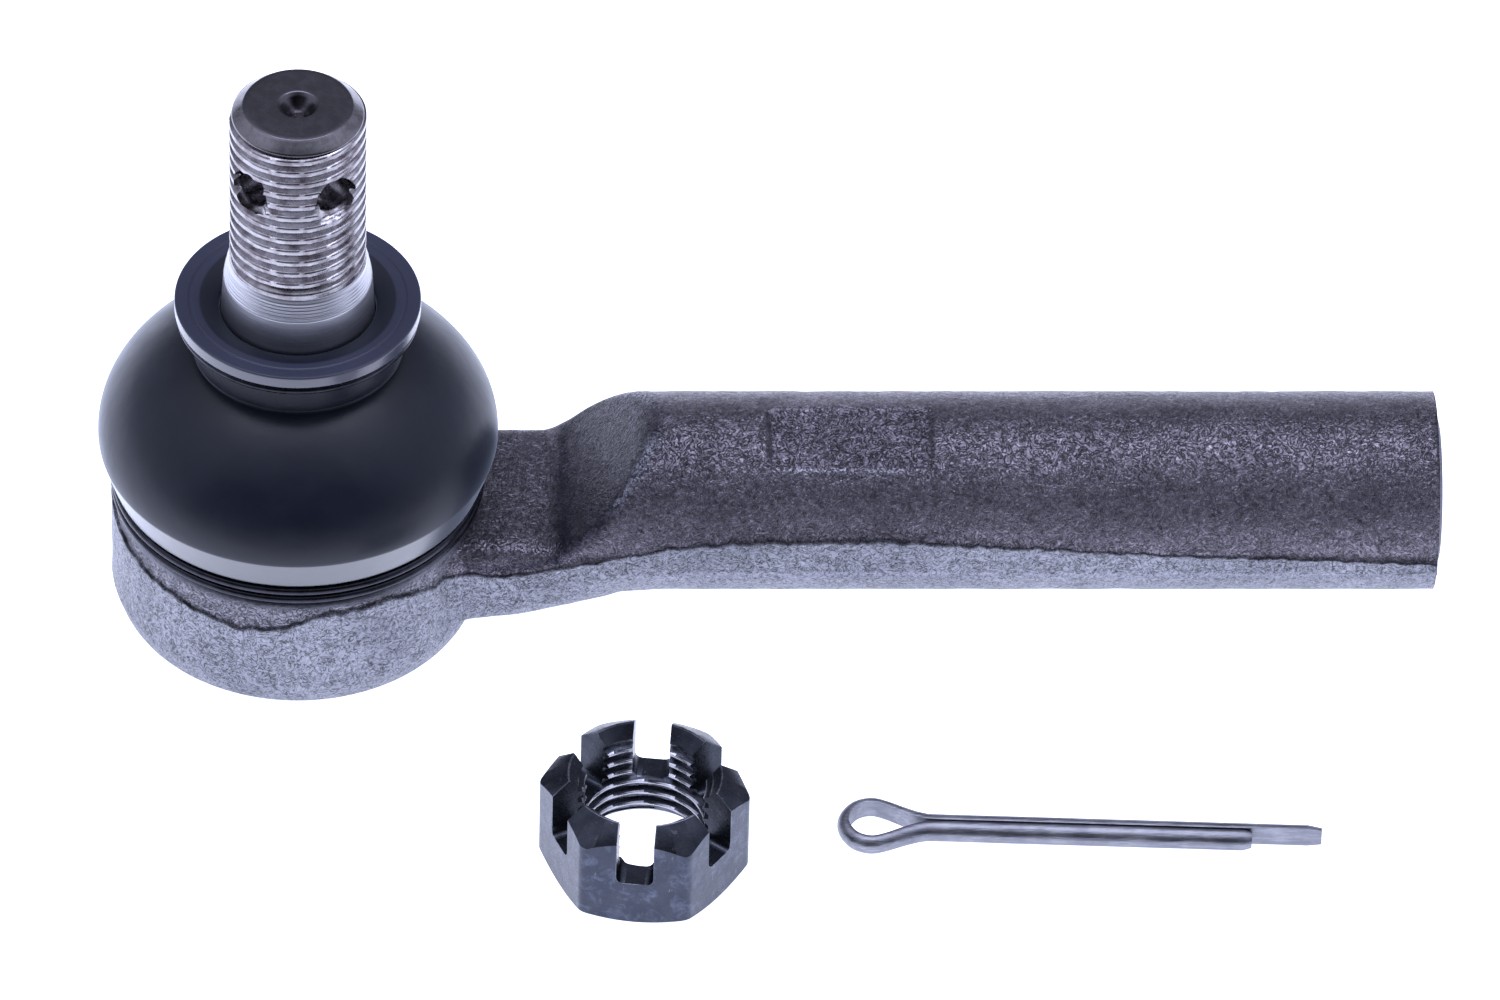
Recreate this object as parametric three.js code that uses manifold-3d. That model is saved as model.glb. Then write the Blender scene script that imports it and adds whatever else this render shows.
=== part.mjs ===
// A tie rod end: the ball joint at the outer end of a car's steering linkage, with its castle nut and
// split pin lying beside it. Millimetres, +Z up. The origin is on the stud's axis at the bench plane,
// +X runs along the shank and the stud points up.
import * as THREE from 'three';
import { mergeVertices } from 'three/addons/utils/BufferGeometryUtils.js';
import Module from 'manifold-3d';

const wasm = await Module();
wasm.setup();

// ---- Driving dimensions ----
const GAP = 0.3;                       // between pieces that touch on the real part
const ROUND = 48;                      // facets round a large turned piece

const HEAD = { radius: 19.3, rimTop: 15.4, boreRadius: 14.5, roofTop: 22.6, lipRadius: 13.4 };
const SPIGOT = { radius: 16.4, lipRadius: 17.0, grooveTop: 18.0, lipTop: 19.2 };
const SHANK = { radius: 10.3, axisZ: 14.3, start: 14, end: 118.5 };
const SHANK_THREAD = { minorRadius: 6.2, depth: 60, mouthRadius: 7.3 };
const WRENCH_FLAT = { start: 48.6, end: 65, half: 9.5, turn: 14.5 };
const NECK = { halfWidth: 10.3, top: 14.8, topCorner: 0.8, rampStart: 26.5, rampEnd: 37 };
// The neck's underside at places along X: its height, and the corner radius that turns it into the shank.
const NECK_SECTIONS = [
  { x: SHANK.start, bottom: 5.1, corner: 1 }, { x: 17, bottom: 5, corner: 1 },
  { x: 22.7, bottom: 4.9, corner: 2.6 }, { x: 28, bottom: 4.7, corner: 5.4 },
  { x: 31.6, bottom: 4.5, corner: 7.7 }, { x: 33.4, bottom: 4.3, corner: 9.2 },
];
const FLASH = { halfWidth: 10.42, bottom: 11.6, top: 15.8, start: 30, end: 117.9 };

const BALL = { radius: 11, z: SHANK.axisZ, flat: 2.9 };
const STUD = {
  top: 66.9, radius: 6.95, taperTop: 44, taperTopRadius: 7.65, taperBottom: 31, neckRadius: 5.6,
};
const STUD_COLLAR = { radius: 7.25, top: 46 };
const STUD_TIP = { radius: 5.65, chamfer: 1.4 };
const CENTRE_HOLE = { radius: 2, tipRadius: 0.8, depth: 2.6 };
const TAPER = 1 / 16;                  // radius lost per millimetre of height, a 1 in 8 taper
const COTTER_HOLE = { radius: 2.05, z: 59, angles: [-51, -141] };
const SEAT_BORE = BALL.radius + GAP;
const SEAT_RADIUS = HEAD.boreRadius - GAP;

const BOOT = { widest: 20.8, widestZ: 22.95, shoulder: 10.94, shoulderZ: 34.6, wall: 1.8, headroom: 1.2 };
const BOOT_FLANGE = { radius: 12.75, bottom: 39.6, top: 41, boreRadius: 8.45, boreBottom: 36.6 };
const CLAMP = { radius: 18.95, wire: 0.5, lowZ: 16.25, rise: 1.1 };
const NECK_RING = { radius: 11.95, wire: 0.55, z: 38.85 };

const NUT = { acrossFlats: 19, height: 12, slotFloor: 5.3, slotWidth: 3.8, boreRadius: 6.2 };
const NUT_PLACE = { x: 35.4, y: -40.6, turn: -7 };
const PIN = {
  thickness: 1.45, halfHeight: 1.2, split: 0.15, length: 49.8, shortLeg: 42.6, eyeHalf: 2.55, eyeMiddle: 3.4,
};
const PIN_PLACE = { x: 55.3, y: -36.8, turn: -2.55 };

// ---- Solids ----
const radians = THREE.MathUtils.degToRad;

// A closed three.js geometry as a solid, with its faces turned outward.
function solid(geometry) {
  const bare = geometry.index ? geometry.toNonIndexed() : geometry.clone();
  bare.deleteAttribute('normal');
  bare.deleteAttribute('uv');
  const merged = mergeVertices(bare, 1e-4);
  const position = merged.attributes.position;
  const corner = [new THREE.Vector3(), new THREE.Vector3(), new THREE.Vector3()];
  const triangles = [];
  let volume = 0;
  for (let i = 0; i < merged.index.count; i += 3) {
    const abc = [0, 1, 2].map((k) => merged.index.getX(i + k));
    if (new Set(abc).size < 3) continue;
    abc.forEach((v, k) => corner[k].fromBufferAttribute(position, v));
    volume += corner[0].dot(corner[1].cross(corner[2]));
    triangles.push(abc);
  }
  if (volume < 0) triangles.forEach((abc) => abc.reverse());
  const triVerts = new Uint32Array(triangles.flat());
  const vertProperties = new Float32Array(position.array);
  return new wasm.Manifold(new wasm.Mesh({ numProp: 3, vertProperties, triVerts }));
}

// A solid as a three.js geometry with flat-shaded faces.
function geometryOf(body) {
  const mesh = body.getMesh();
  const geometry = new THREE.BufferGeometry();
  const positions = Float32Array.from(mesh.vertProperties);
  geometry.setAttribute('position', new THREE.BufferAttribute(positions, 3));
  geometry.setIndex(Array.from(mesh.triVerts));
  geometry.computeVertexNormals();
  return geometry;
}

// Revolves [radius, height] pairs about Z.
function turned(profile, segments = ROUND) {
  const points = profile.map(([radius, height]) => new THREE.Vector2(radius, height));
  return new THREE.LatheGeometry(points, segments).rotateX(Math.PI / 2);
}

// Revolves [radius, x] pairs about the shank's axis.
function turnedAlongShank(profile, segments = ROUND) {
  return turned(profile, segments).rotateY(Math.PI / 2).translate(0, 0, SHANK.axisZ);
}

function outline(points) {
  return new THREE.Shape(points.map(([x, y]) => new THREE.Vector2(x, y)));
}

// A side view of [x, z] points, as thick as `width` across Y.
function sideExtrusion(points, width) {
  const geometry = new THREE.ExtrudeGeometry(outline(points), { depth: width, bevelEnabled: false });
  return geometry.rotateX(Math.PI / 2).translate(0, width / 2, 0);
}

function box(x0, x1, y0, y1, z0, z1) {
  const geometry = new THREE.BoxGeometry(x1 - x0, y1 - y0, z1 - z0);
  return geometry.translate((x0 + x1) / 2, (y0 + y1) / 2, (z0 + z1) / 2);
}

// [radius, height] points on an arc about (0, centre), from one height to another.
function arc(radius, centre, from, to, steps) {
  return Array.from({ length: steps + 1 }, (_, i) => {
    const height = from + ((to - from) * i) / steps;
    return [Math.sqrt(radius ** 2 - height ** 2), centre + height];
  });
}

// A closed geometry through sections that have the same number of points, with flat ends.
function lofted(sections) {
  const count = sections[0].length;
  const last = (sections.length - 1) * count;
  const index = [];
  for (let i = 0; i < last; i += 1) {
    const next = i % count === count - 1 ? i + 1 - count : i + 1;
    index.push(i, next, next + count, i, next + count, i + count);
  }
  for (let i = 1; i < count - 1; i += 1) {
    index.push(0, i + 1, i, last, last + i, last + i + 1);
  }
  const geometry = new THREE.BufferGeometry().setFromPoints(sections.flat());
  geometry.setIndex(index);
  return geometry;
}

// ---- Housing: one steel forging with the ball's socket, the neck and the threaded shank ----
// The neck across X: flat on top, with round lower corners.
function neckSection({ x, bottom, corner }) {
  const { halfWidth, top, topCorner } = NECK;
  const steps = 5;
  const half = Array.from({ length: steps + 1 }, (_, i) => {
    const angle = (Math.PI / 2) * (i / steps);
    return [halfWidth - corner + corner * Math.sin(angle), bottom + corner - corner * Math.cos(angle)];
  });
  half.push([halfWidth, top - topCorner], [halfWidth - topCorner, top]);
  const mirrored = half.map(([y, z]) => [-y, z]).reverse();
  return [...half, ...mirrored].map(([y, z]) => new THREE.Vector3(x, y, z));
}

function housing() {
  const { radius, rimTop, boreRadius, roofTop, lipRadius } = HEAD;
  const head = turned([
    [0, 0], [16.6, 0], [18.3, 1.2], [radius, 3.4], [radius, rimTop - 0.6], [radius - 0.5, rimTop],
    [SPIGOT.radius, rimTop], [SPIGOT.radius, SPIGOT.grooveTop], [SPIGOT.lipRadius, SPIGOT.grooveTop + GAP],
    [SPIGOT.lipRadius, SPIGOT.lipTop], [15.9, 20.6], [12.6, roofTop], [0, roofTop],
  ]);
  const socket = turned([
    [0, -1], [lipRadius, -1], [lipRadius, 1], [15.5, 1], [15.5, 2.8], [boreRadius, 2.8],
    [boreRadius, 18.7], [10.4, 21.7], [10.9, roofTop], [10.9, roofTop + 1], [0, roofTop + 1],
  ]);
  const shank = turnedAlongShank([
    [0, SHANK.start], [SHANK.radius, SHANK.start], [SHANK.radius, SHANK.end - 0.4],
    [SHANK.radius - 0.4, SHANK.end], [0, SHANK.end],
  ]);
  const underRamp = sideExtrusion([
    [0, 0], [130, 0], [130, 30], [NECK.rampEnd + 0.5, 30], [NECK.rampEnd, 24.4], [34, 21.2],
    [30, 16.2], [NECK.rampStart, NECK.top], [0, NECK.top],
  ], 40);
  const neck = lofted(NECK_SECTIONS.map(neckSection));
  const flash = box(FLASH.start, FLASH.end, -FLASH.halfWidth, FLASH.halfWidth, FLASH.bottom, FLASH.top);
  const boreStart = SHANK.end - SHANK_THREAD.depth;
  const bore = turnedAlongShank([
    [0, boreStart - 3.6], [SHANK_THREAD.minorRadius, boreStart],
    [SHANK_THREAD.minorRadius, SHANK.end - 1.1], [SHANK_THREAD.mouthRadius, SHANK.end],
    [SHANK_THREAD.mouthRadius, SHANK.end + 1], [0, SHANK.end + 1],
  ], 40);
  const { start, end, half, turn } = WRENCH_FLAT;
  const flats = [box(start, end, -12, 12, half, 12), box(start, end, -12, 12, -12, -half)];
  const aroundShank = (flat) => flat.rotateX(radians(turn)).translate(0, 0, SHANK.axisZ);
  const [upperFlat, lowerFlat] = flats.map(aroundShank);
  const bar = solid(shank).add(solid(flash)).intersect(solid(underRamp)).add(solid(neck));
  return bar.add(solid(head)).subtract(solid(socket)).subtract(solid(bore))
    .subtract(solid(upperFlat)).subtract(solid(lowerFlat));
}

// ---- Inside the socket ----
function upperBearingSeat() {
  const bottom = 0.15;
  const top = 6.5;
  return solid(turned([
    [SEAT_RADIUS, BALL.z + bottom], [SEAT_RADIUS, 18.5], [11, BALL.z + top],
    ...arc(SEAT_BORE, BALL.z, top, bottom, 5), [SEAT_RADIUS, BALL.z + bottom],
  ]));
}

function lowerBearingSeat() {
  const bottom = -8.4;
  const top = -0.15;
  return solid(turned([
    [SEAT_RADIUS, BALL.z + bottom], [SEAT_RADIUS, BALL.z + top],
    ...arc(SEAT_BORE, BALL.z, top, bottom, 6), [SEAT_RADIUS, BALL.z + bottom],
  ]));
}

// A conical spring washer that presses the lower seat against the ball.
function preloadSpring() {
  return solid(turned([[13.6, 2.8], [13.6, 3.8], [7.9, 5.6], [7.9, 4.6], [13.6, 2.8]]));
}

// A dished steel disc, held by the housing's rolled lip. Its middle is flush with the housing's foot.
function endCap() {
  const edge = 15.5 - GAP;
  return solid(turned([
    [0, 0], [8, 0], [9.5, 1.3], [edge, 1.3], [edge, 2.5], [9, 2.5], [7.5, 1.2], [0, 1.2],
  ]));
}

// ---- Ball stud: ball, neck, taper, thread and two crossing holes for the split pin ----
function taperRadius(z) {
  return STUD.taperTopRadius + (STUD.taperTop - z) * TAPER;
}

function ballStud() {
  const { top, radius, taperTop, taperBottom, neckRadius } = STUD;
  const ballBottom = -Math.sqrt(BALL.radius ** 2 - BALL.flat ** 2);
  const ballTop = Math.sqrt(BALL.radius ** 2 - neckRadius ** 2);
  const body = solid(turned([
    [0, BALL.z + ballBottom], ...arc(BALL.radius, BALL.z, ballBottom, ballTop, 12),
    [neckRadius, 27], [taperRadius(taperBottom) - 0.5, 29.8], [taperRadius(taperBottom), taperBottom],
    [taperRadius(taperTop), taperTop], [STUD_COLLAR.radius, STUD_COLLAR.top],
    [radius, STUD_COLLAR.top + 0.5], [radius, top - STUD_TIP.chamfer], [STUD_TIP.radius, top], [0, top],
  ]));
  const centreHole = solid(turned([
    [0, top - CENTRE_HOLE.depth], [CENTRE_HOLE.tipRadius, top - CENTRE_HOLE.depth + 0.6],
    [CENTRE_HOLE.radius, top - 0.3], [CENTRE_HOLE.radius, top + 1], [0, top + 1],
  ], 24));
  const holes = COTTER_HOLE.angles.map((angle) => {
    const drill = new THREE.CylinderGeometry(COTTER_HOLE.radius, COTTER_HOLE.radius, 20, 20);
    return solid(drill.rotateZ(Math.PI / 2).rotateZ(radians(angle)).translate(0, 0, COTTER_HOLE.z));
  });
  return holes.reduce((left, hole) => left.subtract(hole), body.subtract(centreHole));
}

// ---- Dust boot and the two rings that hold it ----
// The dome's profile from its widest edge up to its shoulder, drawn in by `inset`.
function dome(inset, rise, steps) {
  const shoulder = BOOT.shoulder - inset;
  return Array.from({ length: steps + 1 }, (_, i) => {
    const angle = (Math.PI / 2) * (i / steps);
    const swell = (BOOT.widest - BOOT.shoulder) * Math.cos(angle) ** 1.56;
    return [shoulder + swell, BOOT.widestZ + rise * Math.sin(angle)];
  });
}

function dustBoot() {
  const beadBottom = HEAD.rimTop + 0.35;
  const beadInner = SPIGOT.radius + GAP;
  const rise = BOOT.shoulderZ - BOOT.widestZ;
  const { radius, bottom, top, boreRadius, boreBottom } = BOOT_FLANGE;
  return solid(turned([
    [beadInner, beadBottom], [18.1, beadBottom], [18.1, 18], [19.4, 18.15], [20.75, 22.3],
    ...dome(0, rise, 9),
    [11, 37.9], [11, bottom - 0.1], [radius, bottom], [radius, top], [boreRadius + 0.4, top - 0.1],
    [boreRadius, top - 0.6], [boreRadius, boreBottom],
    ...dome(BOOT.wall, rise - BOOT.headroom, 6).reverse(),
    [18, 19.6], [SPIGOT.lipRadius + GAP, 18.3], [beadInner, 17.9], [beadInner, beadBottom],
  ]));
}

// A round section swept along a path.
function wireAlong(path, radius, steps, sides) {
  const section = new THREE.Shape().absarc(0, 0, radius, 0, Math.PI * 2);
  const options = { extrudePath: path, steps, curveSegments: sides, bevelEnabled: false };
  return new THREE.ExtrudeGeometry(section, options);
}

// Just under two turns of wire: a lower turn, a short step up at the back, and an upper turn.
class ClampPath extends THREE.Curve {
  getPoint(t, target = new THREE.Vector3()) {
    const degrees = 125 + 670 * t;
    const lift = THREE.MathUtils.smoothstep(degrees, 440, 480);
    const angle = radians(degrees);
    return target.set(
      CLAMP.radius * Math.cos(angle), CLAMP.radius * Math.sin(angle), CLAMP.lowZ + CLAMP.rise * lift,
    );
  }
}

function bootClampRing() {
  return solid(wireAlong(new ClampPath(), CLAMP.wire, 72, 3));
}

function bootNeckRing() {
  const ring = new THREE.TorusGeometry(NECK_RING.radius, NECK_RING.wire, 6, ROUND);
  return solid(ring.translate(0, 0, NECK_RING.z));
}

// ---- Castle nut: a hexagon with six slots in the middle of its faces ----
function castleNut() {
  const { acrossFlats, height, slotFloor, slotWidth, boreRadius } = NUT;
  const rounding = 1.2;
  const reach = (acrossFlats / 2 - rounding) / Math.cos(Math.PI / 6);
  const hexagon = new THREE.Shape();
  for (let i = 0; i < 6; i += 1) {
    const middle = radians(60 * i);
    const x = reach * Math.cos(middle);
    const y = reach * Math.sin(middle);
    hexagon.absarc(x, y, rounding, middle - Math.PI / 6, middle + Math.PI / 6);
  }
  const extrusion = { depth: height, bevelEnabled: false, curveSegments: 4 };
  const blank = solid(new THREE.ExtrudeGeometry(hexagon, extrusion));
  const envelope = solid(turned([
    [0, -0.01], [9.6, -0.01], [11.2, 0.9], [11.2, 9.4], [7.9, height], [0, height],
  ]));
  const bore = solid(turned([
    [0, -1], [7.3, -1], [7.3, 0], [boreRadius, 1.1], [boreRadius, height - 1.5],
    [7.7, height], [7.7, height + 1], [0, height + 1],
  ], 40));
  let nut = blank.intersect(envelope).subtract(bore);
  for (let i = 0; i < 3; i += 1) {
    const slot = box(-13, 13, -slotWidth / 2, slotWidth / 2, slotFloor, height + 1);
    nut = nut.subtract(solid(slot.rotateZ(radians(30 + 60 * i))));
  }
  return nut;
}

// ---- Split pin: half-round wire folded back on itself round an eye, with one leg left longer ----
function cotterPin() {
  const { thickness, halfHeight, split, length, shortLeg, eyeHalf, eyeMiddle } = PIN;
  const halfEye = [
    [10, split], [8.2, 0.42], [6.6, 1.2], [eyeMiddle + 1.3, eyeHalf * 0.91], [eyeMiddle, eyeHalf],
    [eyeMiddle - 1.25, eyeHalf * 0.68],
  ];
  const front = [[shortLeg, split], [30, split], [16, split], ...halfEye].map(([x, y]) => [x, -y]);
  const back = [[length, split], [30, split], [16, split], ...halfEye].reverse();
  const outline = [...front, [thickness, 0], ...back];
  const points = outline.map(([x, y]) => new THREE.Vector3(x, y, halfHeight));
  const path = new THREE.CatmullRomCurve3(points, false, 'centripetal');
  const halfRound = new THREE.Shape().absellipse(0, 0, halfHeight, thickness, 0, Math.PI);
  return solid(new THREE.ExtrudeGeometry(halfRound, {
    extrudePath: path, steps: 100, curveSegments: 4, bevelEnabled: false,
  }));
}

// ---- Materials ----
function finish(color, roughness, metalness) {
  return new THREE.MeshStandardMaterial({ color, roughness, metalness });
}

const forgedSteel = finish('#62616c', 0.6, 0.7);
const groundSteel = finish('#a9a6ad', 0.3, 1);
const blackRubber = finish('#1d1f26', 0.5, 0);
const springSteel = finish('#3c3d44', 0.35, 0.9);
const phosphatedSteel = finish('#3a3f4b', 0.45, 0.8);
const zincPlate = finish('#a2a8b4', 0.35, 1);
const platedSteel = finish('#8d8f96', 0.4, 0.9);
const whitePlastic = finish('#d9d6cb', 0.5, 0);

// ---- The assembly ----
const tieRodEnd = new THREE.Group();
tieRodEnd.name = 'tie_rod_end';

function place(parent, name, body, material) {
  const mesh = new THREE.Mesh(geometryOf(body), material);
  mesh.name = name;
  parent.add(mesh);
}

place(tieRodEnd, 'housing', housing(), forgedSteel);
place(tieRodEnd, 'end_cap', endCap(), platedSteel);
place(tieRodEnd, 'preload_spring', preloadSpring(), springSteel);
place(tieRodEnd, 'lower_bearing_seat', lowerBearingSeat(), whitePlastic);
place(tieRodEnd, 'upper_bearing_seat', upperBearingSeat(), whitePlastic);
place(tieRodEnd, 'ball_stud', ballStud(), groundSteel);
place(tieRodEnd, 'dust_boot', dustBoot(), blackRubber);
place(tieRodEnd, 'boot_clamp_ring', bootClampRing(), springSteel);
place(tieRodEnd, 'boot_neck_ring', bootNeckRing(), springSteel);

const nutPlace = new THREE.Group();
nutPlace.position.set(NUT_PLACE.x, NUT_PLACE.y, 0);
nutPlace.rotation.z = radians(NUT_PLACE.turn);
place(nutPlace, 'castle_nut', castleNut(), phosphatedSteel);
tieRodEnd.add(nutPlace);

const pinPlace = new THREE.Group();
pinPlace.position.set(PIN_PLACE.x, PIN_PLACE.y, 0);
pinPlace.rotation.z = radians(PIN_PLACE.turn);
place(pinPlace, 'cotter_pin', cotterPin(), zincPlate);
tieRodEnd.add(pinPlace);

export default tieRodEnd;
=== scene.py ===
"""The finished look of the tie rod end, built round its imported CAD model."""

import math

import bmesh
import bpy
import numpy as np
from mathutils import Matrix, Vector, noise


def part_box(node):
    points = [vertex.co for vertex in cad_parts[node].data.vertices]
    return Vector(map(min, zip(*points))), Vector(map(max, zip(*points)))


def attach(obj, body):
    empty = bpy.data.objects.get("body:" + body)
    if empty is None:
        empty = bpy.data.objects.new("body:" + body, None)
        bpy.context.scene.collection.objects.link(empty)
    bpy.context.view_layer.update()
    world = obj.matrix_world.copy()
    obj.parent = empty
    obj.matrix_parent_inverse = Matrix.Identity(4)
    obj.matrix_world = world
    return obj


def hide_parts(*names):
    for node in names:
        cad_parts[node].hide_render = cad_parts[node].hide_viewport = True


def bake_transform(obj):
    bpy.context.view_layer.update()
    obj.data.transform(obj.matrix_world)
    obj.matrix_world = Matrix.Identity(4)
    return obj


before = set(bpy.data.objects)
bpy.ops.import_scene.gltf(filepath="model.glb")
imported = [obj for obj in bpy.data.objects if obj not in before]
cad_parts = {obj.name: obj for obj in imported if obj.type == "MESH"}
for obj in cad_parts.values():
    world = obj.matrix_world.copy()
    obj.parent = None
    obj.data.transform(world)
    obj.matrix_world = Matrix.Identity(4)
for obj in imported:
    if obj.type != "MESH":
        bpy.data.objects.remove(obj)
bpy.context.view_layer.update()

# Meshes are drawn in millimetres and turned into metres when they become objects.
MM = 0.001
TURN = 2 * math.pi


def centre_mm(node):
    low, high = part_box(node)
    return (low + high) / 2 / MM


# ---- Driving dimensions, in millimetres, in the CAD frame ----
HEAD_RADIUS = 19.3
RIM_TOP = 15.4
BORE_RADIUS = 14.5
SPIGOT_RADIUS = 16.4
ROOF_TOP = 22.6

SHANK_RADIUS = 10.3
SHANK_Z = 14.3
SHANK_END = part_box("housing")[1].x / MM
WALL_Y = 10.42                       # half the width across the trimmed flash
FLASH_FOOT = 11.7                    # lower edge of the trimmed flash along the shank
FLAT_HALF = 9.5                      # half the distance across the wrench flats
FLAT_TURN = 14.5                     # degrees that the flats are turned about the shank
NECK_TOP = 14.8
SHANK_BORE_RADIUS = 6.2
SHANK_BORE_DEPTH = 60
SHANK_THREAD_LENGTH = 24
ARC_STEPS, WALL_STEPS = 52, 15       # points along one side of a section's top or bottom, and down its wall

PITCH = 1.5
THREAD_RADIUS = 7.0
THREAD_DEPTH = 0.8
BALL_RADIUS = 11.0
TAPER_TOP, TAPER_TOP_RADIUS = 44.0, 7.65
STUD_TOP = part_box("ball_stud")[1].z / MM
HOLE_Z = 59.0
HOLE_ANGLES = (-51, -141)
HOLE_RADIUS = 2.05

BOOT_WIDEST, BOOT_WIDEST_Z = 20.75, 22.95
BOOT_SHOULDER, BOOT_SHOULDER_Z = 10.94, 34.6
BOOT_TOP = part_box("dust_boot")[1].z / MM
BOOT_COLUMNS = 240

NUT_CENTRE = centre_mm("castle_nut")
NUT_TURN = -7
NUT_HEIGHT = 12.0
NUT_HALF_WIDTH = 9.5
NUT_BORE_RADIUS = 6.2
NUT_SLOT_FLOOR, NUT_SLOT_HALF_WIDTH = 5.3, 1.9
PIN_START = (55.3, -36.8)
PIN_TURN = -2.55
PIN_HALF_HEIGHT = 1.2
PIN_LENGTH, PIN_SHORT_LEG = 49.8, 42.6


# ---- Mesh making ----
def finish_object(name, mesh, smooth=True):
    mesh.validate()
    if smooth:
        mesh.polygons.foreach_set("use_smooth", [True] * len(mesh.polygons))
    obj = bpy.data.objects.new(name, mesh)
    bpy.context.scene.collection.objects.link(obj)
    return obj


def object_from(name, points, faces, smooth=True, weld=True):
    """An object from points in millimetres, with its doubled points joined and its faces turned out."""
    mesh = bpy.data.meshes.new(name)
    mesh.from_pydata((np.asarray(points).reshape(-1, 3) * MM).tolist(), [], [list(f) for f in faces])
    if weld:
        bm = bmesh.new()
        bm.from_mesh(mesh)
        bmesh.ops.remove_doubles(bm, verts=bm.verts, dist=1e-7)
        bmesh.ops.recalc_face_normals(bm, faces=bm.faces)
        bm.to_mesh(mesh)
        bm.free()
    return finish_object(name, mesh, smooth)


def grid_faces(rows, columns, wrap_rows=False):
    """Quads of a grid of points whose last column meets its first, as its last row does with wrap_rows."""
    r = np.arange(rows if wrap_rows else rows - 1)
    c = np.arange(columns)
    r, c = np.meshgrid(r, c, indexing="ij")
    r1, c1 = (r + 1) % rows, (c + 1) % columns
    quads = np.stack([r * columns + c, r * columns + c1, r1 * columns + c1, r1 * columns + c], -1)
    return quads.reshape(-1, 4).tolist()


def rounded(corners, steps=5):
    """An outline of (x, y) or (x, y, radius) corners, each with a radius turned into a curve."""
    out = []
    for i, corner in enumerate(corners):
        here = np.array(corner[:2], float)
        radius = corner[2] if len(corner) > 2 else 0
        if not radius or i in (0, len(corners) - 1):
            out.append(here)
            continue
        before = np.array(corners[i - 1][:2]) - here
        after = np.array(corners[i + 1][:2]) - here
        reach_before = min(radius, np.linalg.norm(before) * 0.49)
        reach_after = min(radius, np.linalg.norm(after) * 0.49)
        start = here + before / np.linalg.norm(before) * reach_before
        end = here + after / np.linalg.norm(after) * reach_after
        for t in np.linspace(0, 1, steps + 1):
            out.append((1 - t) ** 2 * start + 2 * t * (1 - t) * here + t * t * end)
    return np.array(out)


def resampled(outline, spacing):
    """The same outline with no step longer than spacing."""
    out = [outline[0]]
    for a, b in zip(outline[:-1], outline[1:]):
        count = max(1, math.ceil(np.linalg.norm(b - a) / spacing))
        out.extend(a + (b - a) * k / count for k in range(1, count + 1))
    return np.array(out)


def revolved(profile, columns, closed=False, shape=None):
    """Points and faces of a profile of (radius, height) turned about Z.
    shape(radius, height, angle) may change the radius and height at every point."""
    angle = np.linspace(0, TURN, columns, endpoint=False)
    radius, turn = np.meshgrid(profile[:, 0], angle, indexing="ij")
    height = np.meshgrid(profile[:, 1], angle, indexing="ij")[0]
    if shape:
        radius, height = shape(radius, height, turn)
    points = np.stack([radius * np.cos(turn), radius * np.sin(turn), height], -1)
    return points, grid_faces(len(profile), columns, wrap_rows=closed)


def end_faces(rows, columns):
    """The two faces that close such a grid of points."""
    last = (rows - 1) * columns
    return [list(range(columns)), list(range(last + columns - 1, last - 1, -1))]


def swept(path, section, stretch=None):
    """Points and faces of a section of (outward, up) points along a flat or rising path of points.
    stretch is how many times as far out and up the section reaches at each point of the path."""
    path = np.asarray(path, float)
    stretch = np.ones((len(path), 2)) if stretch is None else stretch
    tangent = np.gradient(path, axis=0)
    tangent /= np.linalg.norm(tangent, axis=1)[:, None]
    outward = np.stack([-tangent[:, 1], tangent[:, 0], np.zeros(len(path))], -1)
    outward /= np.linalg.norm(outward, axis=1)[:, None]
    up = np.cross(tangent, outward)
    points = (
        path[:, None]
        + (section[None, :, 0] * stretch[:, :1])[..., None] * outward[:, None]
        + (section[None, :, 1] * stretch[:, 1:])[..., None] * up[:, None]
    )
    return points, grid_faces(len(path), len(section)) + end_faces(len(path), len(section))


def rough(points, size, height, seed):
    """Smooth noise of that feature size and height, in millimetres, at each point."""
    flat = np.asarray(points).reshape(-1, 3) / size + seed * 17.3
    values = [noise.noise(Vector(p)) for p in flat]
    return height * np.array(values).reshape(np.asarray(points).shape[:-1])


def smooth_step(x, low, high):
    t = np.clip((np.asarray(x, float) - low) / (high - low), 0, 1)
    return t * t * (3 - 2 * t)


def smooth_min(a, b, width):
    """The lower of two heights, blended where they cross."""
    h = np.clip(0.5 + 0.5 * (b - a) / width, 0, 1)
    return b * (1 - h) + a * h - width * h * (1 - h)


def combine(target, cutter, operation, tangled=False):
    """Cuts or joins target by cutter, which is then removed. A tangled target has faces that cross."""
    modifier = target.modifiers.new("cut", "BOOLEAN")
    modifier.operation = operation
    modifier.solver = "EXACT"
    modifier.use_self = tangled
    modifier.object = cutter
    apply_modifiers(target)
    bpy.data.objects.remove(cutter)


def apply_modifiers(obj):
    bpy.context.view_layer.update()
    depsgraph = bpy.context.evaluated_depsgraph_get()
    mesh = bpy.data.meshes.new_from_object(obj.evaluated_get(depsgraph))
    obj.modifiers.clear()
    obj.data = mesh


def smooth_by_angle(obj, degrees):
    """Smooth shading that keeps edges sharper than that."""
    bm = bmesh.new()
    bm.from_mesh(obj.data)
    limit = math.radians(degrees)
    for edge in bm.edges:
        edge.smooth = edge.calc_face_angle(math.pi) < limit
    for face in bm.faces:
        face.smooth = True
    bm.to_mesh(obj.data)
    bm.free()


def keep_flat_faces_flat(obj, area_mm2):
    """Flat shading on the faces larger than that, so that only the small rounded edges look round."""
    for face in obj.data.polygons:
        if face.area > area_mm2 * MM * MM:
            face.use_smooth = False


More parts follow.
